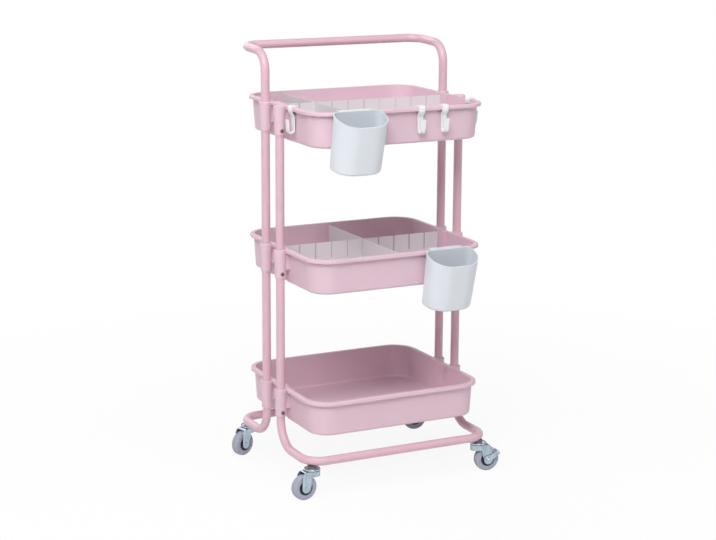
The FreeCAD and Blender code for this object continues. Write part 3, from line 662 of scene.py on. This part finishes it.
class CART_OT_stage(bpy.types.Operator):
    """Set up the pale floor, the soft lights, the even sky and the camera."""

    bl_idname = "cart.stage"
    bl_label = "Studio"

    def execute(self, context):
        stage = context.scene.cart_stage
        self.lay_floor(stage)
        self.hang_lights(stage)
        self.light_sky(context.scene, stage)
        self.stand_camera(context.scene, stage)
        context.scene.view_settings.view_transform = "Standard"
        return {"FINISHED"}

    def lay_floor(self, stage):
        """Wide floor that keeps the cart's shadow near it and turns to the backdrop's white further out."""
        mesh = bmesh.new()
        bmesh.ops.create_grid(
            mesh, x_segments=FLOOR_SQUARES, y_segments=FLOOR_SQUARES, size=FLOOR_HALF_WIDTH
        )
        data = bpy.data.meshes.new("studio_floor")
        mesh.to_mesh(data)
        mesh.free()
        floor = bpy.data.objects.new("studio_floor", data)
        bpy.context.collection.objects.link(floor)
        material, tree, place = new_surface("matt_studio_floor")
        away = add_node(tree, "ShaderNodeVectorMath", {0: place}, operation="LENGTH")
        white = add_node(
            tree,
            "ShaderNodeMapRange",
            {
                "Value": away.outputs["Value"],
                "From Min": SHADOW_CORE,
                "From Max": stage.shadow_reach,
                "To Min": stage.floor_white,
                "To Max": 1.0,
            },
        )
        lift = add_node(
            tree,
            "ShaderNodeMath",
            {0: self.seen_directly(tree), 1: white.outputs["Result"]},
            operation="MULTIPLY",
        )
        matt = add_node(tree, "ShaderNodeBsdfDiffuse", {"Color": stage.floor})
        paper = add_node(tree, "ShaderNodeEmission", {"Color": WHITE})
        both = add_node(
            tree, "ShaderNodeMixShader", {0: lift.outputs[0], 1: matt.outputs[0], 2: paper.outputs[0]}
        )
        add_node(tree, "ShaderNodeOutputMaterial", {"Surface": both.outputs[0]})
        data.materials.append(material)

    def seen_directly(self, tree):
        """1 for rays from the camera, from mirrors and through glass, 0 for the rays that light things."""
        path = add_node(tree, "ShaderNodeLightPath")
        mirrored = add_node(
            tree,
            "ShaderNodeMath",
            {0: path.outputs["Is Camera Ray"], 1: path.outputs["Is Glossy Ray"]},
            operation="MAXIMUM",
        )
        seen = add_node(
            tree,
            "ShaderNodeMath",
            {0: mirrored.outputs[0], 1: path.outputs["Is Transmission Ray"]},
            operation="MAXIMUM",
        )
        return seen.outputs[0]

    def hang_lights(self, stage):
        """Round soft lights, all turned to the middle of the cart."""
        for name, place, width in LIGHTS:
            data = bpy.data.lights.new(f"{name}_light", "AREA")
            data.shape = "DISK"
            data.size = width
            data.energy = getattr(stage, name)
            light = bpy.data.objects.new(f"{name}_light", data)
            bpy.context.collection.objects.link(light)
            light.location = place
            aim = LIGHT_TARGET - Vector(place)
            light.rotation_euler = aim.to_track_quat("-Z", "Y").to_euler()

    def light_sky(self, scene, stage):
        """Even sky that looks white at eye level and grey overhead, and lights the cart more faintly."""
        world = bpy.data.worlds.new("studio_sky")
        scene.world = world
        world.use_nodes = True
        tree = world.node_tree
        tree.nodes.clear()
        way = add_node(tree, "ShaderNodeTexCoord").outputs["Generated"]
        height = add_node(tree, "ShaderNodeSeparateXYZ", {"Vector": way})
        overhead = add_node(
            tree,
            "ShaderNodeMapRange",
            {"Value": height.outputs["Z"], "From Min": SKY_WHITE_BELOW, "From Max": SKY_GREY_ABOVE},
        )
        colour = add_node(
            tree,
            "ShaderNodeMix",
            {"Factor": overhead.outputs["Result"], MIX_A: WHITE, MIX_B: stage.ceiling},
            data_type="RGBA",
        )
        strength = add_node(
            tree,
            "ShaderNodeMapRange",
            {"Value": self.seen_directly(tree), "To Min": stage.sky, "To Max": 1.0},
        )
        sky = add_node(
            tree,
            "ShaderNodeBackground",
            {"Color": colour.outputs[MIX_COLOUR], "Strength": strength.outputs["Result"]},
        )
        add_node(tree, "ShaderNodeOutputWorld", {"Surface": sky.outputs[0]})

    def stand_camera(self, scene, stage):
        """Camera at the photograph's place, turned, dipped and rolled as it was."""
        data = bpy.data.cameras.new("camera")
        data.sensor_fit = "HORIZONTAL"
        data.sensor_width = SENSOR_WIDTH
        data.lens = stage.lens
        camera = bpy.data.objects.new("camera", data)
        bpy.context.collection.objects.link(camera)
        turn, dip, roll = stage.aim
        stance = Euler((math.pi / 2 - dip, 0.0, turn)).to_matrix() @ Matrix.Rotation(roll, 3, "Z")
        camera.location = stage.place
        camera.rotation_euler = stance.to_euler()
        scene.camera = camera


class CART_PT_builder(bpy.types.Panel):
    """Sidebar list of the cart's pieces and settings."""

    bl_idname = "CART_PT_builder"
    bl_label = "Rolling Utility Cart"
    bl_space_type = "VIEW_3D"
    bl_region_type = "UI"
    bl_category = "Cart"

    def draw(self, context):
        scene = context.scene
        for operator in OPERATORS:
            self.layout.operator(operator.bl_idname)
        for group in (scene.cart_finishes, scene.cart_screws, scene.cart_stage):
            box = self.layout.box()
            for name in group.__annotations__:
                box.prop(group, name)


OPERATORS = (
    CART_OT_tubes,
    CART_OT_trays,
    CART_OT_screws,
    CART_OT_casters,
    CART_OT_cups,
    CART_OT_hooks,
    CART_OT_dividers,
    CART_OT_stage,
)
CLASSES = (CartFinishes, CartScrews, CartStage, *OPERATORS, CART_PT_builder)


def register():
    """Add the settings, operators and panel to Blender."""
    for cls in CLASSES:
        bpy.utils.register_class(cls)
    bpy.types.Scene.cart_finishes = PointerProperty(type=CartFinishes)
    bpy.types.Scene.cart_screws = PointerProperty(type=CartScrews)
    bpy.types.Scene.cart_stage = PointerProperty(type=CartStage)


def unregister():
    """Take the settings, operators and panel out again."""
    del bpy.types.Scene.cart_stage
    del bpy.types.Scene.cart_screws
    del bpy.types.Scene.cart_finishes
    for cls in reversed(CLASSES):
        bpy.utils.unregister_class(cls)


def main():
    """Finish every piece in order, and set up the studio."""
    register()
    bpy.ops.cart.tubes()
    bpy.ops.cart.trays()
    bpy.ops.cart.screws()
    bpy.ops.cart.casters()
    bpy.ops.cart.cups()
    bpy.ops.cart.hooks()
    bpy.ops.cart.dividers()
    bpy.ops.cart.stage()


if __name__ == "__main__":
    main()
